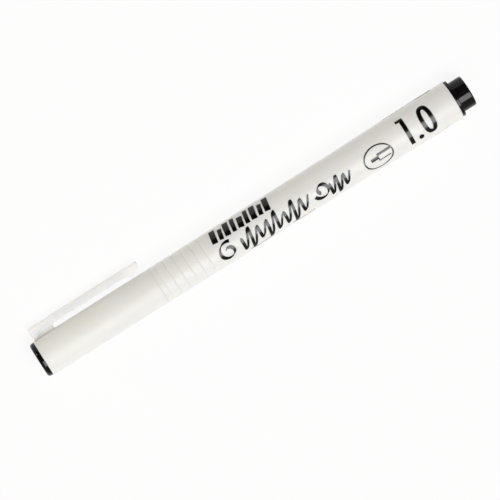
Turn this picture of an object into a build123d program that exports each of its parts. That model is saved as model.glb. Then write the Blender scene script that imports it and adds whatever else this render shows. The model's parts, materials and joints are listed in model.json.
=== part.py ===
"""Calligraphy marker: a chisel-nib fibre pen with a pull-off clip cap, lying on its side.

Every piece is drawn in the pen's own frame, in millimetres. x runs along the axis, from the face of
the disc on the cap's end (x = 0) to the face of the tail (x = length), and the axis is y = z = 0.
The clip stands out along +y. laid_down() then rolls a piece about the axis and moves it, so that the
tail and the long edge of the clip both touch z = 0, with the origin under the middle of the pen.
"""

import math
import os

from build123d import *

# Whole pen
length = 138.0
fit_gap = 0.02  # radial clearance of pieces that are pushed together for good
slide_gap = 0.05  # radial clearance where the cap grips the pen

# Disc that closes the cap
disc_height = 1.45
disc_r = 5.1
disc_edge = 0.8
disc_plug_length = 3.45
disc_plug_wall = 0.9

# Cap
cap_start = disc_height
cap_end = 38.35
cap_r = 5.35
cap_mouth_bore_r = 4.65
cap_back_bore_r = 4.5
cap_bore_step = 24.0
cap_end_edge = 0.3
seam_chamfer = 0.12

# Pocket clip, moulded with the cap
clip_start = 1.9
clip_tip = 36.65
clip_height = 9.0  # outer face, from the axis
clip_inner = 6.65  # inner edge of the side walls, from the axis
clip_width = 3.6
clip_edge = 0.6  # rounding of the two long outer edges
clip_root_length = 2.0  # stretch where the clip is as wide below as above
clip_foot_depth = 0.5  # how far the root reaches into the cap, so that its whole width meets the wall
clip_web_width = 3.0
clip_web_end = 9.0
clip_split = 9.3  # the arm bends from here on
clip_relief_deg = 1.6
clip_wall = 0.7
clip_channel_end = 31.4
clip_root_edge = 0.5
clip_tip_top = 0.4
clip_tip_bottom = 1.2
pad_start = 32.4
pad_end = 35.4
pad_inner = 6.0  # lowest point of the gripping pad, from the axis

# Sealing cup inside the cap
seal_start = cap_start + disc_plug_length
seal_base = 1.0
seal_end = 20.4
seal_r = 3.9
seal_bore_r = 3.35

# Barrel
barrel_r = 5.4
tail_r = 5.65
flare_start = 88.0
flare_end = 127.5
barrel_end = 133.05
barrel_bore_r = 4.45
barrel_bore_start = 39.6
neck_start = 27.0
neck_r = 4.5
neck_bore_r = 3.5
neck_bead_x = 34.5
neck_bead_half = 0.7
neck_lead = 0.35
groove_count = 6
groove_first = cap_end + 1.55
groove_pitch = 2.75
groove_depth = 0.2
groove_tool_r = 0.3
rib_count = 6
rib_width = 0.8
rib_root = 0.2  # how far a rib reaches into the barrel's wall
rib_margin = 1.5

# Front section, which holds the nib
snout_start = 10.0
snout_r = 1.7
snout_end = 13.0
cone_start_r = 1.95
cone_end = 19.0
cone_end_r = 3.0
seat_r = 3.2
seat_end = 21.0
grip_start = 21.2
grip_start_r = 3.55
grip_end_r = 4.3
grip_slope = 0.3  # slope at the front of the grip, which ends parallel to the axis
spigot_end = 37.5
spigot_bore_r = 2.6
small_edge = 0.25

# Nib
nib_tip = 7.0
nib_r = 0.9
nib_end = 47.0
nib_point = 1.5
nib_point_r = 0.25
nib_blade_width = 1.0
nib_blade_thickness = 0.45
nib_blade_length = 1.6
nib_taper_length = 1.0
nib_slant = 0.3

# Ink reservoir and its film
reservoir_start = 40.2
reservoir_end = 125.8
reservoir_r = 3.8
film_thickness = 0.1

# Tail plug
plug_start = 126.0
plug_wall = 1.0
plug_floor = 1.2
plug_cross = 0.8
flange_height = 0.95
flange_r = 5.45
flange_edge = 0.15
post_start = barrel_end + flange_height
post_r = 4.5
post_edge = 0.35


def rest_roll():
    """Degrees that the clip's middle plane hangs below level when clip and tail touch the surface."""
    across = clip_height - clip_edge
    beside = clip_width / 2 - clip_edge
    drop = tail_r - clip_edge
    return math.degrees(math.asin(drop / math.hypot(across, beside)) - math.atan2(beside, across))


def clip_reach():
    """How far the clip's upper edge stands out from the axis, level with the surface."""
    roll = math.radians(rest_roll())
    across = clip_height - clip_edge
    beside = clip_width / 2 - clip_edge
    return across * math.cos(roll) + beside * math.sin(roll) + clip_edge


def laid_down(shape):
    """The piece in the row's frame: rolled onto the clip, and moved over the origin."""
    middle = (clip_reach() - tail_r) / 2
    return Pos(-length / 2, -middle, tail_r) * Rot(-rest_roll(), 0, 0) * shape


def turned(*edges):
    """Solid of revolution about the pen's axis from a closed outline drawn in the x-y plane."""
    return revolve(make_face(Wire(list(edges))), Axis.X)


def outline(*points):
    """Straight edges through the points, in order."""
    return [Line(a, b) for a, b in zip(points, points[1:])]


def ring(start, end, outer, inner=0.0):
    """Plain tube, or a plain rod where inner is 0."""
    corners = [(start, inner), (start, outer), (end, outer), (end, inner)]
    return turned(*outline(*corners, corners[0]))


def side_plate(edges, width):
    """Flat plate of an outline in the x-y plane, centred on the x-y plane."""
    return extrude(make_face(Wire(list(edges))), width / 2, both=True)


def cap_end_disc():
    plug_r = cap_back_bore_r - fit_gap
    plug_end = cap_start + disc_plug_length
    hollow_r = plug_r - disc_plug_wall
    disc = turned(
        *outline((plug_end, 0), (0, 0), (0, disc_r - disc_edge)),
        TangentArc((0, disc_r - disc_edge), (disc_edge, disc_r), tangent=(0, 1)),
        *outline(
            (disc_edge, disc_r),
            (cap_start, disc_r),
            (cap_start, plug_r),
            (plug_end - small_edge, plug_r),
            (plug_end, plug_r - small_edge),
            (plug_end, 0),
        ),
    )
    return disc - ring(cap_start + disc_plug_wall, plug_end, hollow_r)


def clip_side_edges():
    """Outline of the whole clip seen from its side, from its root to its tip."""
    top = clip_height
    rounding = clip_tip_bottom
    pad_middle = (pad_start + pad_end) / 2
    return [
        *outline((clip_start, clip_inner), (clip_start, top - clip_root_edge)),
        TangentArc(
            (clip_start, top - clip_root_edge), (clip_start + clip_root_edge, top), tangent=(0, 1)
        ),
        *outline((clip_start + clip_root_edge, top), (clip_tip - clip_tip_top, top)),
        TangentArc(
            (clip_tip - clip_tip_top, top), (clip_tip, top - clip_tip_top), tangent=(1, 0)
        ),
        *outline((clip_tip, top - clip_tip_top), (clip_tip, clip_inner + rounding)),
        TangentArc(
            (clip_tip, clip_inner + rounding), (clip_tip - rounding, clip_inner), tangent=(0, -1)
        ),
        *outline((clip_tip - rounding, clip_inner), (pad_end, clip_inner)),
        ThreePointArc((pad_end, clip_inner), (pad_middle, pad_inner), (pad_start, clip_inner)),
        *outline((pad_start, clip_inner), (clip_start, clip_inner)),
    ]


def whole_clip():
    """Clip with rounded long edges, and a channel along its inner side as moulded."""
    section = Plane.YZ * RectangleRounded(2 * clip_height, clip_width, clip_edge)
    clip = side_plate(clip_side_edges(), clip_width) & extrude(section, clip_tip)
    channel_start = clip_split + clip_wall
    channel_length = clip_channel_end - channel_start
    channel_depth = clip_height - clip_wall - clip_inner
    channel = Pos(
        channel_start + channel_length / 2, clip_inner + channel_depth / 2, 0
    ) * Box(channel_length, channel_depth, clip_width - 2 * clip_wall)
    return clip - channel


def clip_web():
    """Block and thin web between the cap's wall and the clip, ending in a round slot end."""
    foot = cap_r - clip_foot_depth
    block = Pos(clip_start + clip_root_length / 2, (foot + clip_inner) / 2, 0) * Box(
        clip_root_length, clip_inner - foot, clip_width
    )
    slot_r = (clip_inner - cap_r) / 2
    web = side_plate(
        outline(
            (clip_start, foot),
            (clip_start, clip_inner),
            (clip_web_end, clip_inner),
            (clip_web_end, foot),
            (clip_start, foot),
        ),
        clip_web_width,
    )
    slot = Pos(clip_web_end, cap_r + slot_r, 0) * Cylinder(slot_r, clip_width)
    return block + (web - slot)


def cap_shell():
    tube = turned(
        *outline((cap_start, cap_back_bore_r), (cap_start, cap_r - cap_end_edge)),
        TangentArc(
            (cap_start, cap_r - cap_end_edge), (cap_start + cap_end_edge, cap_r), tangent=(0, 1)
        ),
        *outline(
            (cap_start + cap_end_edge, cap_r),
            (cap_end - seam_chamfer, cap_r),
            (cap_end, cap_r - seam_chamfer),
            (cap_end, cap_mouth_bore_r + small_edge),
            (cap_end - small_edge, cap_mouth_bore_r),
            (cap_bore_step, cap_mouth_bore_r),
            (cap_bore_step - small_edge, cap_back_bore_r),
            (cap_start, cap_back_bore_r),
        ),
    )
    root = whole_clip() & (Pos(clip_split / 2, 0, 0) * Box(clip_split, 4 * cap_r, 4 * cap_r))
    return tube + clip_web() + root


def pocket_clip():
    """Free arm of the clip. Its end face leans back, so that it can also be pressed inwards."""
    keep = Pos(clip_split, clip_height, 0) * Rot(0, 0, clip_relief_deg) * Pos(clip_tip / 2, 0, 0)
    return whole_clip() & (keep * Box(clip_tip, 4 * cap_r, 4 * cap_r))


def cap_inner_seal():
    base_r = cap_back_bore_r - fit_gap
    base = ring(seal_start, seal_start + seal_base, base_r)
    sleeve = turned(
        *outline(
            (seal_start + seal_base, seal_bore_r),
            (seal_start + seal_base, seal_r),
            (seal_end - small_edge, seal_r),
            (seal_end, seal_r - small_edge),
            (seal_end, seal_bore_r),
            (seal_start + seal_base, seal_bore_r),
        )
    )
    return base + sleeve


def barrel_skin():
    """Tube of the barrel: a neck for the cap, a parallel stretch, and a gentle flare to the tail."""
    bead_r = cap_mouth_bore_r - slide_gap
    return turned(
        *outline(
            (neck_start, neck_bore_r),
            (neck_start, neck_r - neck_lead),
            (neck_start + neck_lead, neck_r),
            (neck_bead_x - neck_bead_half, neck_r),
        ),
        ThreePointArc(
            (neck_bead_x - neck_bead_half, neck_r),
            (neck_bead_x, bead_r),
            (neck_bead_x + neck_bead_half, neck_r),
        ),
        *outline(
            (neck_bead_x + neck_bead_half, neck_r),
            (cap_end, neck_r),
            (cap_end, barrel_r - seam_chamfer),
            (cap_end + seam_chamfer, barrel_r),
            (flare_start, barrel_r),
        ),
        Spline((flare_start, barrel_r), (flare_end, tail_r), tangents=((1, 0), (1, 0))),
        *outline(
            (flare_end, tail_r),
            (barrel_end - seam_chamfer, tail_r),
            (barrel_end, tail_r - seam_chamfer),
            (barrel_end, barrel_bore_r),
            (barrel_bore_start, barrel_bore_r),
            (barrel_bore_start, neck_bore_r),
            (neck_start, neck_bore_r),
        ),
    )


def barrel():
    body = barrel_skin()
    for n in range(groove_count):
        tool = Torus(barrel_r - groove_depth + groove_tool_r, groove_tool_r)
        body -= Pos(groove_first + n * groove_pitch, 0, 0) * Rot(0, 90, 0) * tool
    rib_r = reservoir_r + film_thickness + 2 * fit_gap
    rib_length = reservoir_end - reservoir_start - 2 * rib_margin
    rib_height = barrel_bore_r + rib_root - rib_r
    rib = Pos((reservoir_start + reservoir_end) / 2, rib_r + rib_height / 2, 0) * Box(
        rib_length, rib_height, rib_width
    )
    for n in range(rib_count):
        body += Rot(360 * n / rib_count, 0, 0) * rib
    return body


def front_section():
    """Cone that holds the nib, with a seat for the sealing cup and a spigot inside the neck."""
    spigot_r = neck_bore_r - fit_gap
    hole_r = nib_r + fit_gap
    return turned(
        *outline((snout_start, hole_r), (snout_start, snout_r - small_edge)),
        TangentArc(
            (snout_start, snout_r - small_edge), (snout_start + small_edge, snout_r), tangent=(0, 1)
        ),
        *outline(
            (snout_start + small_edge, snout_r),
            (snout_end, snout_r),
            (snout_end, cone_start_r),
            (cone_end, cone_end_r),
            (cone_end, seat_r),
            (seat_end, seat_r),
            (grip_start, grip_start_r),
        ),
        Spline(
            (grip_start, grip_start_r),
            (neck_start, grip_end_r),
            tangents=((1, grip_slope), (1, 0)),
        ),
        *outline(
            (neck_start, grip_end_r),
            (neck_start, spigot_r),
            (spigot_end - small_edge, spigot_r),
            (spigot_end, spigot_r - small_edge),
            (spigot_end, spigot_bore_r),
            (neck_start, spigot_bore_r),
            (neck_start - spigot_bore_r + hole_r, hole_r),
            (snout_start, hole_r),
        ),
    )


def nib():
    """Fibre rod with a slanted chisel at the front and a point that feeds from the reservoir."""
    rod = turned(
        *outline(
            (nib_tip, 0),
            (nib_tip, nib_r),
            (nib_end - nib_point, nib_r),
            (nib_end, nib_point_r),
            (nib_end, 0),
            (nib_tip, 0),
        )
    )
    blade_end = nib_tip + nib_blade_length
    full = blade_end + nib_taper_length
    half_w = nib_blade_width / 2
    half_t = nib_blade_thickness / 2
    seen_flat = outline(
        (nib_tip, half_w),
        (blade_end, half_w),
        (full, nib_r),
        (nib_end, nib_r),
        (nib_end, -nib_r),
        (full, -nib_r),
        (blade_end, -half_w),
        (nib_tip + nib_slant, -half_w),
        (nib_tip, half_w),
    )
    seen_thin = outline(
        (nib_tip, half_t),
        (full, nib_r),
        (nib_end, nib_r),
        (nib_end, -nib_r),
        (full, -nib_r),
        (nib_tip, -half_t),
        (nib_tip, half_t),
    )
    flat = side_plate(seen_flat, 2 * nib_r)
    thin = Rot(90, 0, 0) * side_plate(seen_thin, 2 * nib_r)
    return Rot(rest_roll(), 0, 0) * (rod & flat & thin)


def ink_reservoir():
    hole_r = nib_r + fit_gap
    depth = nib_end + fit_gap - reservoir_start
    rod = ring(reservoir_start, reservoir_end, reservoir_r)
    return rod - ring(reservoir_start, reservoir_start + depth, hole_r)


def reservoir_film():
    inner = reservoir_r
    return ring(reservoir_start, reservoir_end, inner + film_thickness, inner)


def tail_plug():
    """Plug with a thin flange, and a post that stands out of the tail."""
    spigot_r = barrel_bore_r - fit_gap
    hollow_end = barrel_end - plug_floor
    plug = turned(
        *outline(
            (plug_start, 0),
            (plug_start, spigot_r - small_edge),
            (plug_start + small_edge, spigot_r),
            (barrel_end, spigot_r),
            (barrel_end, flange_r - flange_edge),
            (barrel_end + flange_edge, flange_r),
            (post_start - flange_edge, flange_r),
            (post_start, flange_r - flange_edge),
            (post_start, post_r),
            (length - post_edge, post_r),
        ),
        TangentArc((length - post_edge, post_r), (length, post_r - post_edge), tangent=(1, 0)),
        *outline((length, post_r - post_edge), (length, 0), (plug_start, 0)),
    )
    plug -= ring(plug_start, hollow_end, spigot_r - plug_wall)
    cross = Pos((plug_start + hollow_end) / 2, 0, 0) * Box(
        hollow_end - plug_start, 2 * spigot_r - plug_wall, plug_cross
    )
    return plug + cross + Rot(90, 0, 0) * cross


pieces = {
    "barrel": barrel,
    "front_section": front_section,
    "nib": nib,
    "ink_reservoir": ink_reservoir,
    "reservoir_film": reservoir_film,
    "tail_plug": tail_plug,
    "cap_shell": cap_shell,
    "pocket_clip": pocket_clip,
    "cap_end_disc": cap_end_disc,
    "cap_inner_seal": cap_inner_seal,
}

os.makedirs("parts", exist_ok=True)
for node, make in pieces.items():
    export_step(laid_down(make()), f"parts/{node}.step")
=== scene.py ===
import json
import math

import bmesh
import bpy
from mathutils import Matrix, Vector


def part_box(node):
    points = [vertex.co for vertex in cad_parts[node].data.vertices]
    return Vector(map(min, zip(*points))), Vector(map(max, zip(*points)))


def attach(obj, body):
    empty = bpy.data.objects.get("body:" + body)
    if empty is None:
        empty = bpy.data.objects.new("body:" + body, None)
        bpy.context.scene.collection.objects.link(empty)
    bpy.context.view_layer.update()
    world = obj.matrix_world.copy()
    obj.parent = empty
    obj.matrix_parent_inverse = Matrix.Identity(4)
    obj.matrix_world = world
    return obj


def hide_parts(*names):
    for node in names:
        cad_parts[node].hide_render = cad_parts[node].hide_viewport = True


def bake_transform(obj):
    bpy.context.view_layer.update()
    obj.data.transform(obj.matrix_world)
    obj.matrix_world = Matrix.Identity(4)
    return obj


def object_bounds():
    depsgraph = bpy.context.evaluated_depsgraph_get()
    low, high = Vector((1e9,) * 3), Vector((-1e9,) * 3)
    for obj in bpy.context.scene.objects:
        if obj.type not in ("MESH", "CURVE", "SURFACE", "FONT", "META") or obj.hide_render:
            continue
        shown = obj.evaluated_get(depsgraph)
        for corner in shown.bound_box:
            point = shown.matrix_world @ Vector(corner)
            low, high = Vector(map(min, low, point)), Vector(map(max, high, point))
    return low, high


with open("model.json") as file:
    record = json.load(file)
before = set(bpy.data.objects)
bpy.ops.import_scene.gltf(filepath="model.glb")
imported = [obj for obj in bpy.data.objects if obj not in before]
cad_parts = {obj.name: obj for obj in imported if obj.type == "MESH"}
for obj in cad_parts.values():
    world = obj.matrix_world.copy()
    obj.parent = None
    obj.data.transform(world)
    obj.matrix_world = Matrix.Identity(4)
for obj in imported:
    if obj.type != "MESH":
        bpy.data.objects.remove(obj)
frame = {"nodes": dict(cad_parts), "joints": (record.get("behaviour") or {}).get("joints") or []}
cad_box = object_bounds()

# A calligraphy marker that lies on its side, tail towards +X, with its clip on the +Y side.
# Outlines are (x, r) points in millimetres: x from the face of the cap's end disc, r from the axis.
MM = 0.001
TURN_STEPS = 192
ARC_STEPS = 6
SHARP_ANGLE = math.radians(38)
HOLD = 0.1  # how far inside the ends of a long flat its extra points lie
MERGE_DISTANCE = 1e-8  # metres
ON_AXIS = 1e-6  # a smaller radius than this is a point on the axis


def node_span(node):
    """Where a CAD node starts and ends along the pen, in millimetres from the cap's end."""
    low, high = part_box(node)
    return (low.x - cad_box[0].x) / MM, (high.x - cad_box[0].x) / MM


def node_radius(node):
    """Largest radius of a round CAD node, in millimetres."""
    low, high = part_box(node)
    return (high.z - low.z) / 2 / MM


plug_low, plug_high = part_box("tail_plug")
AXIS_Y = (plug_low.y + plug_high.y) / 2
AXIS_Z = (plug_low.z + plug_high.z) / 2
LENGTH = (cad_box[1].x - cad_box[0].x) / MM

clip_joint = next(j for j in frame["joints"] if j["name"] == "clip_bend")
CLIP_ROLL = math.atan2(clip_joint["axis"][1], clip_joint["axis"][2])
CLIP_SPLIT = (clip_joint["pos_m"][0] - cad_box[0].x) / MM

CAP_START = node_span("cap_shell")[0]
CAP_END = node_span("cap_shell")[1]
BARREL_END = node_span("barrel")[1]
NECK_START = node_span("barrel")[0]
DISC_R = node_radius("cap_end_disc")
TAIL_R = node_radius("barrel")
CAP_R = 5.35
BARREL_R = 5.4
FLARE_START, FLARE_END = 88.0, 127.5


def place(x, across, up, roll=0.0):
    """Scene point of a point in the pen's own frame, given in millimetres, after a roll about the axis."""
    y = across * math.cos(roll) + up * math.sin(roll)
    z = up * math.cos(roll) - across * math.sin(roll)
    return Vector((cad_box[0].x + x * MM, AXIS_Y + y * MM, AXIS_Z + z * MM))


def barrel_radius(x):
    """Radius of the barrel's skin: parallel, then a smooth flare to the tail."""
    t = min(1.0, max(0.0, (x - FLARE_START) / (FLARE_END - FLARE_START)))
    return BARREL_R + (TAIL_R - BARREL_R) * t * t * (3 - 2 * t)


# ---- mesh building ----


def finish_mesh(name, bm, material):
    """Object from a bmesh, with outward normals, smooth shading and sharp creases."""
    bmesh.ops.remove_doubles(bm, verts=bm.verts, dist=MERGE_DISTANCE)
    bmesh.ops.recalc_face_normals(bm, faces=bm.faces)
    mesh = bpy.data.meshes.new(name)
    bm.to_mesh(mesh)
    bm.free()
    mesh.shade_smooth()
    mesh.set_sharp_from_angle(angle=SHARP_ANGLE)
    mesh.materials.append(material)
    piece = bpy.data.objects.new(name, mesh)
    bpy.context.scene.collection.objects.link(piece)
    return piece


def arc(centre, radius, start_deg, end_deg, steps=ARC_STEPS):
    """Points of an arc in the outline's plane."""
    found = []
    for i in range(steps + 1):
        a = math.radians(start_deg + (end_deg - start_deg) * i / steps)
        found.append((centre[0] + radius * math.cos(a), centre[1] + radius * math.sin(a)))
    return found


def rounded(corners):
    """Closed outline of (x, r) or (x, r, rounding) corners, with each rounding made of short edges."""
    found = []
    count = len(corners)
    for i, corner in enumerate(corners):
        here = Vector(corner[:2])
        radius = corner[2] if len(corner) > 2 else 0.0
        if radius == 0.0:
            found.append(tuple(here))
            continue
        before = (Vector(corners[i - 1][:2]) - here).normalized()
        after = (Vector(corners[(i + 1) % count][:2]) - here).normalized()
        half = before.angle(after) / 2
        reach = radius / math.tan(half)
        centre = here + (before + after).normalized() * radius / math.sin(half)
        start = here + before * reach - centre
        turn = start.angle_signed(here + after * reach - centre)
        for k in range(ARC_STEPS + 1):
            spoke = start.copy()
            spoke.rotate(Matrix.Rotation(-turn * k / ARC_STEPS, 2))
            found.append(tuple(centre + spoke))
    return found


def held(outline):
    """The outline, with a point just inside each end of every long edge, so that flats shade flat."""
    found = []
    for a, b in zip(outline, outline[1:] + outline[:1]):
        found.append(a)
        size = math.dist(a, b)
        if size > 4 * HOLD and max(a[1], b[1]) > 0:
            for t in (HOLD / size, 1 - HOLD / size):
                found.append(tuple(p + (q - p) * t for p, q in zip(a, b)))
    return found


def turned(name, outline, material):
    """Closed mesh made by turning a closed outline about the pen's axis."""
    bm = bmesh.new()
    rings = []
    for x, r in held(outline):
        if r < ON_AXIS:
            rings.append([bm.verts.new(place(x, 0, 0))])
            continue
        ring = []
        for k in range(TURN_STEPS):
            a = 2 * math.pi * k / TURN_STEPS
            ring.append(bm.verts.new(place(x, r * math.cos(a), r * math.sin(a))))
        rings.append(ring)
    for a, b in zip(rings, rings[1:] + rings[:1]):
        join_rings(bm, a, b)
    return finish_mesh(name, bm, material)


def join_rings(bm, a, b):
    """Faces between two rings of points, either of which may be a single point on the axis."""
    if len(a) == 1 and len(b) == 1:
        return
    for k in range(max(len(a), len(b))):
        n = (k + 1) % max(len(a), len(b))
        if len(a) == 1:
            bm.faces.new((a[0], b[k], b[n]))
        elif len(b) == 1:
            bm.faces.new((a[k], b[0], a[n]))
        else:
            bm.faces.new((a[k], b[k], b[n], a[n]))


# ---- materials ----


def new_material(name):
    """Material with nodes, its tree and its shader."""
    material = bpy.data.materials.new(name)
    material.use_nodes = True
    tree = material.node_tree
    return material, tree, tree.nodes["Principled BSDF"]


def noise(tree, scale, detail, stretch=(1, 1, 1)):
    """Noise in the piece's own space, with scale in features per metre."""
    coords = tree.nodes.new("ShaderNodeTexCoord")
    mapping = tree.nodes.new("ShaderNodeMapping")
    mapping.inputs["Scale"].default_value = stretch
    texture = tree.nodes.new("ShaderNodeTexNoise")
    texture.inputs["Scale"].default_value = scale
    texture.inputs["Detail"].default_value = detail
    tree.links.new(coords.outputs["Object"], mapping.inputs["Vector"])
    tree.links.new(mapping.outputs["Vector"], texture.inputs["Vector"])
    return texture.outputs["Fac"]


NOISE_COLOUR_SPAN = (0.35, 0.65)  # part of a noise's range that a colour ramp covers
NOISE_NUMBER_SPAN = (0.3, 0.7)  # part of a noise's range that a number covers


def ramp(tree, fac, low, high):
    """Colour ramp between two colours over the middle of a noise."""
    node = tree.nodes.new("ShaderNodeValToRGB")
    node.color_ramp.elements[0].position, node.color_ramp.elements[1].position = NOISE_COLOUR_SPAN
    node.color_ramp.elements[0].color = (*low, 1)
    node.color_ramp.elements[1].color = (*high, 1)
    tree.links.new(fac, node.inputs["Fac"])
    return node.outputs["Color"]


def spread(tree, fac, low, high):
    """Noise stretched to run between two numbers."""
    node = tree.nodes.new("ShaderNodeMapRange")
    node.inputs["From Min"].default_value, node.inputs["From Max"].default_value = NOISE_NUMBER_SPAN
    node.inputs["To Min"].default_value = low
    node.inputs["To Max"].default_value = high
    tree.links.new(fac, node.inputs["Value"])
    return node.outputs["Result"]


def bump(tree, shader, layers):
    """Stack of bumps: (height, strength, depth in metres) each."""
    normal = None
    for height, strength, depth in layers:
        node = tree.nodes.new("ShaderNodeBump")
        node.inputs["Strength"].default_value = strength
        node.inputs["Distance"].default_value = depth
        tree.links.new(height, node.inputs["Height"])
        if normal is not None:
            tree.links.new(normal, node.inputs["Normal"])
        normal = node.outputs["Normal"]
    tree.links.new(normal, shader.inputs["Normal"])


def shade(colour, amount):
    """The colour made darker or lighter."""
    return tuple(min(1.0, c * amount) for c in colour)


def white_plastic(name, colour, roughness, milkiness, depth):
    """Moulded, milky plastic: faint clouding, flow streaks and a fine satin skin. Depth is in mm."""
    material, tree, shader = new_material(name)
    clouds = noise(tree, scale=90, detail=4)
    skin = noise(tree, scale=9000, detail=2)
    waves = noise(tree, scale=700, detail=2, stretch=(0.25, 1, 1))
    clouded = ramp(tree, clouds, low=shade(colour, 0.985), high=shade(colour, 1.01))
    satin = spread(tree, waves, low=roughness - 0.03, high=roughness + 0.04)
    tree.links.new(clouded, shader.inputs["Base Color"])
    tree.links.new(satin, shader.inputs["Roughness"])
    shader.inputs["IOR"].default_value = 1.49
    shader.inputs["Specular IOR Level"].default_value = 0.4
    shader.inputs["Subsurface Weight"].default_value = milkiness
    shader.inputs["Subsurface Radius"].default_value = (1.0, 0.9, 0.7)
    shader.inputs["Subsurface Scale"].default_value = depth * MM
    bump(tree, shader, [(waves, 0.12, 0.02 * MM), (skin, 0.10, 0.004 * MM)])
    return material


def black_plastic(name):
    """Glossy black moulding with a soft skin and fine handling marks."""
    material, tree, shader = new_material(name)
    clouds = noise(tree, scale=250, detail=4)
    skin = noise(tree, scale=6000, detail=2)
    clouded = ramp(tree, clouds, low=(0.003, 0.0025, 0.003), high=(0.006, 0.005, 0.006))
    tree.links.new(clouded, shader.inputs["Base Color"])
    tree.links.new(spread(tree, clouds, low=0.09, high=0.15), shader.inputs["Roughness"])
    shader.inputs["IOR"].default_value = 1.5
    shader.inputs["Specular IOR Level"].default_value = 0.22
    bump(tree, shader, [(skin, 0.08, 0.004 * MM)])
    return material


def ink(name):
    """Printed black ink: glossy, with a faint unevenness of the film."""
    material, tree, shader = new_material(name)
    film = noise(tree, scale=3000, detail=3)
    uneven = ramp(tree, film, low=(0.001, 0.001, 0.0006), high=(0.003, 0.0028, 0.002))
    tree.links.new(uneven, shader.inputs["Base Color"])
    tree.links.new(spread(tree, film, low=0.16, high=0.24), shader.inputs["Roughness"])
    shader.inputs["IOR"].default_value = 1.5
    shader.inputs["Specular IOR Level"].default_value = 0.35
    bump(tree, shader, [(film, 0.1, 0.003 * MM)])
    return material


def fibre(name, low, high):
    """Bundled fibre that runs along the pen."""
    material, tree, shader = new_material(name)
    strands = noise(tree, scale=9000, detail=4, stretch=(0.04, 1, 1))
    tree.links.new(ramp(tree, strands, low, high), shader.inputs["Base Color"])
    tree.links.new(spread(tree, strands, low=0.6, high=0.85), shader.inputs["Roughness"])
    bump(tree, shader, [(strands, 0.5, 0.03 * MM)])
    return material


def clear_film():
    """Thin clear film."""
    material, _, shader = new_material("clear_film")
    shader.inputs["Base Color"].default_value = (0.85, 0.87, 0.88, 1)
    shader.inputs["Roughness"].default_value = 0.12
    shader.inputs["Alpha"].default_value = 0.4
    return material


cap_white = white_plastic("cap_white", (0.91, 0.90, 0.865), roughness=0.46, milkiness=0.6, depth=1.2)
# The clip is the cap's own plastic. Its lighter base colour is painted light, because its flat side catches
# more light than the cap's round skin.
lit_clip_white = white_plastic("lit_clip_white", (0.95, 0.945, 0.925), roughness=0.46, milkiness=1.0, depth=2.2)
barrel_white = white_plastic("barrel_white", (0.87, 0.865, 0.845), roughness=0.42, milkiness=0.5, depth=1.2)
seal_white = white_plastic("natural_seal", (0.80, 0.81, 0.79), roughness=0.40, milkiness=0.9, depth=1.2)
gloss_black = black_plastic("black_moulding")
print_ink = ink("print_ink")
nib_fibre = fibre("nib_fibre", low=(0.012, 0.012, 0.014), high=(0.035, 0.035, 0.04))
reservoir_fibre = fibre("reservoir_fibre", low=(0.02, 0.02, 0.024), high=(0.07, 0.07, 0.08))

# ---- turned pieces ----


def make_disc():
    """Disc in the cap's end, with a hollow spigot."""
    spigot_r, spigot_end = 4.48, node_span("cap_end_disc")[1]
    hollow_r, hollow_start = 3.58, CAP_START + 0.9
    face_rounding = 0.8
    outline = rounded([
        (0.0, 0.0),
        (0.0, DISC_R, face_rounding),
        (CAP_START, DISC_R, 0.08),
        (CAP_START, spigot_r),
        (spigot_end, spigot_r, 0.2),
        (spigot_end, hollow_r),
        (hollow_start, hollow_r, 0.3),
        (hollow_start, 0.0),
    ])
    disc = turned("end_disc", outline, gloss_black)
    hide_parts("cap_end_disc")
    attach(disc, "cap")


def make_cap_tube():
    """Cap's tube: its bore is wider from the step to the mouth."""
    mouth_r, back_r, step, step_length = 4.65, 4.5, 24.0, 0.25
    outline = rounded([
        (CAP_START, back_r),
        (CAP_START, CAP_R, 0.3),
        (CAP_END, CAP_R, 0.12),
        (CAP_END, mouth_r, 0.2),
        (step, mouth_r),
        (step - step_length, back_r),
    ])
    tube = turned("cap_tube", outline, cap_white)
    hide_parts("cap_shell")
    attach(tube, "cap")


def make_seal():
    """Sealing cup: a base that fills the cap's bore, with a thin lip."""
    start, end = node_span("cap_inner_seal")
    base_r, lip_r, lip_bore_r, base_end = 4.48, 3.9, 3.35, start + 1.0
    outline = rounded([
        (start, 0.0),
        (start, base_r, 0.15),
        (base_end, base_r, 0.15),
        (base_end, lip_r, 0.2),
        (end, lip_r, 0.22),
        (end, lip_bore_r, 0.22),
        (base_end, lip_bore_r, 0.3),
        (base_end, 0.0),
    ])
    seal = turned("sealing_cup", outline, seal_white)
    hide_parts("cap_inner_seal")
    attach(seal, "cap")


GROOVE_COUNT = 6
GROOVE_FIRST = 1.55  # from the seam
GROOVE_PITCH = 2.75
GROOVE_HALF = 0.28
GROOVE_DEPTH = 0.2
DIP_STEPS = 6  # on each side of the middle of a groove or bead


def groove(centre):
    """Smooth dip in the barrel's skin."""
    found = []
    for i in range(-DIP_STEPS, DIP_STEPS + 1):
        x = i / DIP_STEPS * GROOVE_HALF
        dip = GROOVE_DEPTH * math.cos(math.pi / 2 * i / DIP_STEPS) ** 2
        found.append((centre + x, BARREL_R - dip))
    return found


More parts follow.
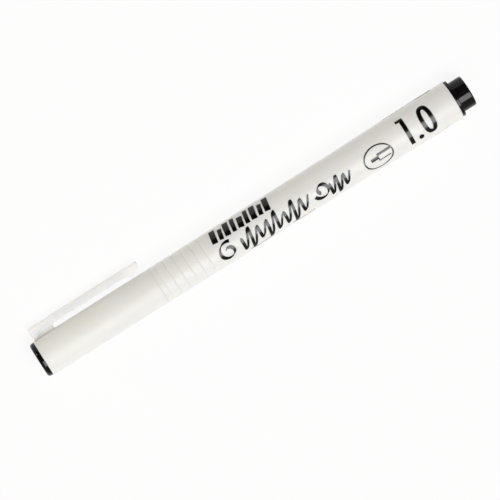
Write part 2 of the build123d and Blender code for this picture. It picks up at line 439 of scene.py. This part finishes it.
def make_barrel():
    """Barrel: neck with a bead that the cap grips, grooved grip, and a flare to the tail."""
    neck_r, neck_bore_r, bore_r, bore_start = 4.5, 3.5, 4.45, 39.6
    bead_x, bead_half, bead_height = 34.5, 0.7, 0.1
    edge, flare_steps = 0.12, 24
    outline = rounded([
        (NECK_START, neck_bore_r),
        (NECK_START, neck_r, 0.3),
        (bead_x - bead_half, neck_r),
    ])[:-1]
    for i in range(-DIP_STEPS, DIP_STEPS + 1):
        rise = bead_height * math.cos(math.pi / 2 * i / DIP_STEPS) ** 2
        outline.append((bead_x + bead_half * i / DIP_STEPS, neck_r + rise))
    outline += [(CAP_END, neck_r)]
    outline += arc((CAP_END + edge, BARREL_R - edge), edge, 180, 90)
    for n in range(GROOVE_COUNT):
        outline += groove(CAP_END + GROOVE_FIRST + n * GROOVE_PITCH)
    for i in range(flare_steps + 1):
        x = FLARE_START + (FLARE_END - FLARE_START) * i / flare_steps
        outline.append((x, barrel_radius(x)))
    outline += arc((BARREL_END - edge, TAIL_R - edge), edge, 90, 0)
    outline += [(BARREL_END, bore_r), (bore_start, bore_r), (bore_start, neck_bore_r)]
    barrel = turned("barrel_tube", outline, barrel_white)
    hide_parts("barrel")
    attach(barrel, "pen")


def make_tail_plug():
    """Plug in the tail: hollow spigot, thin flange and a post."""
    start = node_span("tail_plug")[0]
    spigot_r, hollow_r, floor = 4.43, 3.43, BARREL_END - 1.2
    flange_r, post_r = node_radius("tail_plug"), 4.5
    post_start = BARREL_END + 0.95
    outline = rounded([
        (start, hollow_r),
        (start, spigot_r, 0.2),
        (BARREL_END, spigot_r),
        (BARREL_END, flange_r, 0.15),
        (post_start, flange_r, 0.15),
        (post_start, post_r, 0.1),
        (LENGTH, post_r, 0.35),
        (LENGTH, 0.0),
        (floor, 0.0),
        (floor, hollow_r, 0.2),
    ])
    plug = turned("end_plug", outline, gloss_black)
    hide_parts("tail_plug")
    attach(plug, "pen")


def make_front_section():
    """Holder of the nib: snout, cone, seat for the cap's seal, shoulder, and a spigot in the neck."""
    start, end = node_span("front_section")
    hole_r, snout_r, snout_end = 0.92, 1.7, 13.0
    cone_start_r, cone_end_r, cone_end = 1.95, 3.0, 19.0
    seat_r, seat_end = 3.2, 21.0
    shoulder_start, shoulder_r, shoulder_rise, shoulder_steps = 21.2, 3.55, 0.75, 10
    spigot_r, feed_r, funnel_length = 3.48, 2.6, 1.68
    shoulder = []
    for i in range(shoulder_steps + 1):
        x = shoulder_start + (NECK_START - shoulder_start) * i / shoulder_steps
        shoulder.append((x, shoulder_r + shoulder_rise * math.sin(math.pi / 2 * i / shoulder_steps)))
    outline = rounded([
        (start, hole_r),
        (start, snout_r, 0.25),
        (snout_end, snout_r, 0.05),
        (snout_end, cone_start_r, 0.1),
        (cone_end, cone_end_r, 0.1),
        (cone_end, seat_r, 0.08),
        (seat_end, seat_r, 0.08),
        shoulder[0],
    ])[:-1]
    outline += shoulder
    outline += rounded([
        (NECK_START, spigot_r),
        (end, spigot_r, 0.2),
        (end, feed_r),
        (NECK_START, feed_r),
        (NECK_START - funnel_length, hole_r),
    ])
    section = turned("nib_section", outline, gloss_black)
    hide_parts("front_section")
    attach(section, "pen")


# ---- clip ----
# Heights are from the pen's axis, and sides are from the clip's own middle plane.

CLIP_TOP, CLIP_INNER, CLIP_HALF = 9.0, 6.65, 1.8
CLIP_START, CLIP_TIP = 1.9, 36.65
CLIP_EDGE, INNER_EDGE = 0.6, 0.15  # roundings of the section's corners
CLIP_ROOT_END, ROOT_ROUNDING, ROOT_SUNK = 3.9, 0.5, 0.5
END_FALL, END_TAPER = 0.5, 0.2  # roundings of the start, seen from the side and from above
TIP_FALL, TIP_TAPER, TIP_RISE = 0.4, 0.35, 1.2  # the same of the tip, and of its inner edge
CHANNEL_START, CHANNEL_END = 10.0, 31.4
CHANNEL_HALF, CHANNEL_TOP = 1.1, 8.3
PAD_START, PAD_END, PAD_DROP, PAD_SHAPE = 32.4, 35.4, 0.65, 0.8
JUMP = 0.001  # length of a sudden change of section


def fall(distance, radius):
    """How far a rounded end has fallen back, at a distance from the end face."""
    if distance >= radius:
        return 0.0
    return radius - math.sqrt(radius * radius - (radius - distance) ** 2)


def clip_inner_edge(x):
    """Height of the side walls' inner edge above the axis: foot of the root, straight arm, pad, tip."""
    if x <= CLIP_ROOT_END:
        return CAP_R - ROOT_SUNK
    root = fall(x - CLIP_ROOT_END, ROOT_ROUNDING) * (CLIP_INNER - CAP_R + ROOT_SUNK) / ROOT_ROUNDING
    if PAD_START < x < PAD_END:
        along_pad = (x - PAD_START) / (PAD_END - PAD_START)
        return CLIP_INNER - PAD_DROP * math.sin(math.pi * along_pad) ** PAD_SHAPE
    return CLIP_INNER - root + fall(CLIP_TIP - x, TIP_RISE)


def clip_section(x):
    """Closed outline of the clip across the pen at x: (side, height) points of a channel section."""
    top = CLIP_TOP - fall(x - CLIP_START, END_FALL) - fall(CLIP_TIP - x, TIP_FALL)
    half = CLIP_HALF - fall(x - CLIP_START, END_TAPER) - fall(CLIP_TIP - x, TIP_TAPER)
    low = clip_inner_edge(x)
    channel = CHANNEL_TOP if CHANNEL_START <= x <= CHANNEL_END else low
    right = [(half - CLIP_EDGE - HOLD, top)]
    right += arc((half - CLIP_EDGE, top - CLIP_EDGE), CLIP_EDGE, 90, 0)
    right += [(half, top - CLIP_EDGE - HOLD), (half, low + INNER_EDGE + HOLD)]
    right += arc((half - INNER_EDGE, low + INNER_EDGE), INNER_EDGE, 0, -90, 3)
    right += [(CHANNEL_HALF, low), (CHANNEL_HALF, channel)]
    left = [(-side, height) for side, height in reversed(right)]
    return right + left


def clip_stations():
    """Places along the clip where its section changes, close together at the rounded ends."""
    start = [CLIP_START + END_FALL * (1 - math.cos(math.pi / 2 * i / 6)) for i in range(7)]
    root = [CLIP_ROOT_END + ROOT_ROUNDING * (1 - math.cos(math.pi / 2 * i / 6)) for i in range(7)]
    bend = [CLIP_SPLIT + (CHANNEL_START - CLIP_SPLIT) * i / 3 for i in range(3)]
    arm = [CHANNEL_START + (CHANNEL_END - CHANNEL_START) * i / 40 for i in range(41)]
    pad = [PAD_START + (PAD_END - PAD_START) * i / 24 for i in range(25)]
    tip = [CLIP_TIP - TIP_RISE * (1 - math.sin(math.pi / 2 * i / 12)) for i in range(13)]
    jumps = [CLIP_ROOT_END - JUMP, CHANNEL_START - JUMP, CHANNEL_END + JUMP]
    return sorted({round(x, 5) for x in start + root + bend + arm + pad + tip + jumps})


def make_clip():
    """Whole clip in one skin, from its root on the cap to the tip of its arm."""
    bm = bmesh.new()
    rings = []
    for x in clip_stations():
        points = [place(x, height, side, CLIP_ROLL) for side, height in clip_section(x)]
        rings.append([bm.verts.new(point) for point in points])
    for a, b in zip(rings, rings[1:]):
        join_rings(bm, a, b)
    bm.faces.new(rings[0])
    bm.faces.new(rings[-1])
    # The clip's material is the cap's plastic with a lighter colour painted on as light.
    clip = finish_mesh("clip_moulding", bm, lit_clip_white)
    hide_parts("pocket_clip")
    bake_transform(clip)


def make_clip_web():
    """Thin web under the clip's root, which ends in the round end of the gap."""
    start, end, half = CLIP_START + 0.3, 9.0, 1.5
    foot, top = CAP_R - 0.35, CLIP_INNER + 0.3
    gap_r = (CLIP_INNER - CAP_R) / 2
    side = [(start, foot), (start, top), (end, top), (end, CLIP_INNER)]
    side += arc((end, CAP_R + gap_r), gap_r, 90, 270, 12)
    side += [(end, foot)]
    bm = bmesh.new()
    faces = []
    for up in (-half, half):
        faces.append([bm.verts.new(place(x, height, up, CLIP_ROLL)) for x, height in side])
    bm.faces.new(faces[0])
    bm.faces.new(faces[1])
    join_rings(bm, faces[0], faces[1])
    web = finish_mesh("clip_web", bm, cap_white)
    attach(web, "cap")


# ---- printing ----
# Print is laid out flat as (x, s) points: s is the distance round the skin, away from the clip, from
# the line that faces the same way as the clip's side. A line is a list of (x, s, half width) points.
# Every mark is a plain pattern, a sign or the nib's width as a number.

INK_PROUD, INK_SUNK = 0.012, 0.03  # how far the ink stands out of the skin, and reaches into it
INK_STEP = 0.3  # longest straight step of a line
INK_THIN, INK_THICK = 0.12, 0.54  # half widths of a pen stroke
QUILL_ANGLE = math.radians(38)
CURVE_STEPS = 16
SWELL_CYCLES = 2.5  # waves in each swell of a row


def on_barrel(x, s, lift):
    """Point above the barrel's skin."""
    skin = barrel_radius(x)
    angle = s / skin
    return place(x, -(skin + lift) * math.sin(angle), (skin + lift) * math.cos(angle), CLIP_ROLL)


def evenly(points, closed=False):
    """The same (x, s, half width) line, with extra points so that none are far apart."""
    found = []
    ends = points[1:] + points[:1] if closed else points[1:]
    for a, b in zip(points, ends):
        count = max(1, math.ceil(math.dist(a[:2], b[:2]) / INK_STEP))
        found += [tuple(p + (q - p) * i / count for p, q in zip(a, b)) for i in range(count)]
    return found if closed else found + [points[-1]]


def stroke(bm, points, closed=False):
    """Thin closed solid of ink along a line of (x, s, half width) points, wrapped on the barrel."""
    points = evenly(points, closed)
    count = len(points)
    columns = math.ceil(2 * max(p[2] for p in points) / INK_STEP) + 1
    steps = [2 * k / columns - 1 for k in range(columns + 1)]
    rings = []
    for i, (x, s, half) in enumerate(points):
        before = points[i - 1] if closed else points[max(i - 1, 0)]
        after = points[(i + 1) % count] if closed else points[min(i + 1, count - 1)]
        along = Vector((after[0] - before[0], after[1] - before[1])).normalized()
        top = [(x - along.y * half * t, s + along.x * half * t) for t in steps]
        ring = [bm.verts.new(on_barrel(*p, INK_PROUD)) for p in top]
        ring += [bm.verts.new(on_barrel(*p, -INK_SUNK)) for p in reversed(top)]
        rings.append(ring)
    for a, b in zip(rings, rings[1:] + (rings[:1] if closed else [])):
        join_rings(bm, a, b)
    if not closed:
        bm.faces.new(rings[0])
        bm.faces.new(rings[-1])


def printed(name, *strokes):
    """Piece of print: every stroke is a list of points, or a (points, closed) pair."""
    bm = bmesh.new()
    for line in strokes:
        if isinstance(line, tuple):
            stroke(bm, *line)
        else:
            stroke(bm, line)
    piece = finish_mesh(name, bm, print_ink)
    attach(piece, "pen")


def quill(path):
    """Line of (x, s) points drawn with a broad nib: thick one way and thin the other."""
    found = []
    for i, (x, s) in enumerate(path):
        x0, s0 = path[max(i - 1, 0)]
        x1, s1 = path[min(i + 1, len(path) - 1)]
        turn = math.atan2(s0 - s1, x1 - x0) - QUILL_ANGLE
        found.append((x, s, INK_THIN + (INK_THICK - INK_THIN) * abs(math.sin(turn))))
    return found


def wave(start, end, cycles, middle, reach, swell):
    """Row of slanted waves about s = middle, whose reach swells and shrinks along the row."""
    slant = 0.25
    found = []
    steps = 24 * cycles
    for i in range(steps + 1):
        t = i / steps
        height = reach + swell * math.sin(math.pi * cycles * t / SWELL_CYCLES) ** 2
        up = height * math.cos(2 * math.pi * cycles * t)
        found.append((start + (end - start) * t + slant * up, middle - up))
    return quill(found)


def curl(x, s, size, turns, start_deg):
    """Spiral that winds inwards."""
    steps, tightness = 40, 0.3
    found = []
    for i in range(steps + 1):
        t = i / steps
        angle = math.radians(start_deg) + 2 * math.pi * turns * t
        radius = size * (1 - (1 - tightness) * t)
        found.append((x + radius * math.cos(angle), s - radius * math.sin(angle)))
    return quill(found)


def bow(start, end, s, depth, half_width):
    """Shallow bowl-shaped line."""
    found = []
    for i in range(CURVE_STEPS + 1):
        t = i / CURVE_STEPS
        found.append((start + (end - start) * t, s + depth * math.sin(math.pi * t), half_width))
    return found


def oval(x, s, half_x, half_s, half_width, power=2.0):
    """Closed superellipse."""
    steps = 64
    found = []
    for i in range(steps):
        c, d = math.cos(2 * math.pi * i / steps), math.sin(2 * math.pi * i / steps)
        found.append((
            x + half_x * math.copysign(abs(c) ** (2 / power), c),
            s + half_s * math.copysign(abs(d) ** (2 / power), d),
            half_width,
        ))
    return found, True


def dot(x, s, radius):
    """Filled disc."""
    steps, least = 12, 0.02
    angles = [math.pi * i / steps for i in range(steps + 1)]
    return [(x, s - radius * math.cos(a), max(least, radius * math.sin(a))) for a in angles]


def bar(start, end, s, half_width):
    """Straight bar along the pen."""
    return [(start, s, half_width), (end, s, half_width)]


def box(start, end, near, far, half_width):
    """Closed rectangle."""
    corners = [(start, near), (end, near), (end, far), (start, far)]
    return [(x, s, half_width) for x, s in corners], True


def print_blocks():
    """Row of bold slanted blocks: wide and narrow in turn, and every third one short."""
    start, end, top, foot, short, lean = 56.7, 75.6, -5.95, -1.35, 1.2, 0.35
    count, wide, narrow = 9, 0.40, 0.30
    pitch = (end - start) / count
    blocks = []
    for n in range(count):
        half = pitch * (narrow if n % 2 else wide)
        x = start + (n + 0.5) * pitch
        drop = short if n % 3 == 1 else 0.0
        blocks.append([(x + lean, top + drop, half), (x - lean, foot, half)])
    printed("print_blocks", *blocks)


def print_pattern():
    """Rows of pen-stroke waves, curls and bows, in two groups."""
    printed(
        "print_waves",
        wave(start=63.2, end=85.0, cycles=8, middle=2.9, reach=1.5, swell=2.1),
        wave(start=91.4, end=98.2, cycles=3, middle=3.0, reach=1.4, swell=1.4),
    )
    printed(
        "print_curls",
        curl(x=59.4, s=2.5, size=2.95, turns=1.2, start_deg=60),
        curl(x=89.4, s=1.8, size=2.6, turns=1.1, start_deg=200),
        bow(start=65.0, end=72.0, s=6.3, depth=0.6, half_width=0.09),
        bow(start=78.5, end=85.5, s=6.3, depth=0.6, half_width=0.09),
    )


def print_nib_sign():
    """Oval with a chisel nib in its holder."""
    x, s, line = 107.33, 2.54, 0.13
    seam, tip, end = x - 0.15, x - 2.4, x + 3.95
    top, foot = s - 1.16, s + 1.06
    printed(
        "print_nib_sign",
        oval(x, s, half_x=4.3, half_s=3.4, half_width=0.19),
        bar(tip, seam, s, half_width=0.5),
        bar(seam, end, s - 0.8, half_width=0.36),
        bar(seam, end - 0.5, foot, line),
        [(seam, top, line), (seam, foot, line)],
    )


def print_numeral():
    """The nib's width, 1.0, in plain figures."""
    top, foot, half = -3.5, 5.2, 0.60
    stem, flag, flag_half = 117.5, 1.65, 0.42
    dot_x, dot_r = 120.28, 0.75
    zero, zero_half, squareness = 123.84, 2.02, 2.5
    printed(
        "print_numeral",
        [(stem, top, half), (stem, foot, half)],
        bar(stem - flag, stem, top + flag_half, flag_half),
        dot(dot_x, foot - dot_r, dot_r),
        oval(zero, (top + foot) / 2, zero_half - half, (foot - top) / 2 - half, half, squareness),
    )


def print_frames():
    """Plain empty boxes on the far side, whose edges just reach the outline, 84 degrees round."""
    outline = math.radians(84) * TAIL_R
    bold, thin = 0.35, 0.2
    printed(
        "print_frames",
        box(start=113.9, end=128.9, near=0.15 - outline, far=-outline - 5.0, half_width=bold),
        bar(start=124.3, end=128.9, s=0.6 - outline, half_width=bold),
        box(start=122.4, end=128.4, near=outline + 0.2, far=outline + 3.2, half_width=thin),
    )


# ---- stage, light and camera ----

PEN_RISE = math.radians(32.29)  # slope of the pen in the picture
VIEW_WIDTH = 135.70 * MM  # what the picture spans at the pen
VIEW_DISTANCE = 1.27  # metres
VIEW_CENTRE = (64.53, -5.10)  # x and across, in the picture's middle
CAMERA_FOOT = 16.3  # x that the camera stands over
SENSOR = 36.0
FLOOR_HALF = 3.0
FLOOR_GLOW = 0.90
SKY_FAR = (0.02, 0.02, 0.02)  # radiance from the +Y side, behind the clip
SKY_NEAR = (0.51, 0.475, 0.42)  # radiance from the -Y side
SKY_EDGE = (0.97, 0.97, 0.97)  # radiance of the low rim of the sky, which carries the floor's white on
RIM_TOP, RIM_END = 0.015, 0.05  # heights, as the sine of the elevation, between which the rim fades

# Softboxes: name, tip from the line of sight towards -Y and lean towards +X in degrees, distance and
# size along and across the pen in metres, power in watts, colour
SOFTBOXES = (
    ("key_softbox", 35, 2.4, 1.20, (0.50, 0.80), 11.3, (0.97, 0.99, 1.0)),
    ("end_softbox", -50, -48, 0.60, (0.08, 0.07), 0.70, (1.0, 0.85, 0.60)),
)


def make_floor():
    """Plain floor under the pen, whose own glow keeps it white, with only a faint shadow."""
    bm = bmesh.new()
    corners = [(-1, -1), (1, -1), (1, 1), (-1, 1)]
    bm.faces.new([bm.verts.new((x * FLOOR_HALF, y * FLOOR_HALF, cad_box[0].z)) for x, y in corners])
    mesh = bpy.data.meshes.new("floor")
    bm.to_mesh(mesh)
    bm.free()
    material, _, shader = new_material("floor_white")
    shader.inputs["Base Color"].default_value = (0.06, 0.06, 0.06, 1)
    shader.inputs["Roughness"].default_value = 0.8
    shader.inputs["Emission Color"].default_value = (1, 1, 1, 1)
    shader.inputs["Emission Strength"].default_value = FLOOR_GLOW
    mesh.materials.append(material)
    floor = bpy.data.objects.new("floor", mesh)
    bpy.context.scene.collection.objects.link(floor)


def facing(back, turn=0.0):
    """Rotation of a lamp or camera that looks against back, with its right side along the pen."""
    along = Vector((1, 0, 0))
    along = (along - along.dot(back) * back).normalized()
    across = back.cross(along)
    right = along * math.cos(turn) - across * math.sin(turn)
    up = along * math.sin(turn) + across * math.cos(turn)
    return Matrix((right, up, back)).transposed().to_4x4()


def softbox(name, tip_deg, lean_deg, distance, size, power, colour):
    """Rectangular light that faces the pen."""
    tip, lean = math.radians(tip_deg), math.radians(lean_deg)
    side, up = -math.sin(tip) * math.cos(lean), math.cos(tip) * math.cos(lean)
    direction = place(math.sin(lean), side, up, CLIP_ROLL) - place(0, 0, 0)
    direction.normalize()
    light = bpy.data.lights.new(name, "AREA")
    light.shape = "RECTANGLE"
    light.size, light.size_y = size
    light.energy = power
    light.color = colour
    lamp = bpy.data.objects.new(name, light)
    lamp.matrix_world = Matrix.Translation(direction * distance) @ facing(direction)
    lamp.visible_camera = False
    bpy.context.scene.collection.objects.link(lamp)


def mix_colours(tree, factor, low, high):
    """Mix node whose ends are colours or other nodes' outputs."""
    mix = tree.nodes.new("ShaderNodeMix")
    mix.data_type = "RGBA"
    tree.links.new(factor, mix.inputs["Factor"])
    for name, end in (("A", low), ("B", high)):
        if isinstance(end, tuple):
            mix.inputs[name].default_value = (*end, 1)
        else:
            tree.links.new(end, mix.inputs[name])
    return mix.outputs["Result"]


def between(tree, value, low, high):
    """How far a value is from low to high, held to 0 to 1."""
    node = tree.nodes.new("ShaderNodeMapRange")
    node.inputs["From Min"].default_value = low
    node.inputs["From Max"].default_value = high
    tree.links.new(value, node.inputs["Value"])
    return node.outputs["Result"]


def make_sky():
    """Plain soft surroundings, brighter on the -Y side, with a white rim at the floor's edge."""
    world = bpy.data.worlds.new("studio")
    world.use_nodes = True
    tree = world.node_tree
    direction = tree.nodes.new("ShaderNodeTexCoord")
    split = tree.nodes.new("ShaderNodeSeparateXYZ")
    tree.links.new(direction.outputs["Generated"], split.inputs["Vector"])
    sky = mix_colours(tree, between(tree, split.outputs["Y"], -1, 1), SKY_NEAR, SKY_FAR)
    sky = mix_colours(tree, between(tree, split.outputs["Z"], RIM_TOP, RIM_END), SKY_EDGE, sky)
    tree.links.new(sky, tree.nodes["Background"].inputs["Color"])
    bpy.context.scene.world = world


def make_lights():
    for row in SOFTBOXES:
        softbox(*row)
    make_sky()


def make_camera():
    """Camera that looks straight at the clip's side, with the pen rising to the upper right."""
    data = bpy.data.cameras.new("camera")
    data.sensor_width = SENSOR
    data.lens = SENSOR * VIEW_DISTANCE / VIEW_WIDTH
    data.clip_start, data.clip_end = 0.01, 20
    camera = bpy.data.objects.new("camera", data)
    target = place(VIEW_CENTRE[0], VIEW_CENTRE[1], 0, CLIP_ROLL)
    eye = place(CAMERA_FOOT, VIEW_CENTRE[1], VIEW_DISTANCE / MM, CLIP_ROLL)
    back = (eye - target).normalized()
    camera.matrix_world = Matrix.Translation(eye) @ facing(back, PEN_RISE)
    bpy.context.scene.collection.objects.link(camera)
    bpy.context.scene.camera = camera


def dress_inner_nodes():
    """Materials of the CAD nodes that are shown as they are."""
    shown = {"nib": nib_fibre, "ink_reservoir": reservoir_fibre, "reservoir_film": clear_film()}
    for node, material in shown.items():
        piece = frame["nodes"][node]
        piece.data.materials.clear()
        piece.data.materials.append(material)


make_disc()
make_cap_tube()
make_seal()
make_barrel()
make_tail_plug()
make_front_section()
make_clip()
make_clip_web()
print_blocks()
print_pattern()
print_nib_sign()
print_numeral()
print_frames()
dress_inner_nodes()
make_floor()
make_lights()
make_camera()
bpy.context.scene.view_settings.view_transform = "Standard"
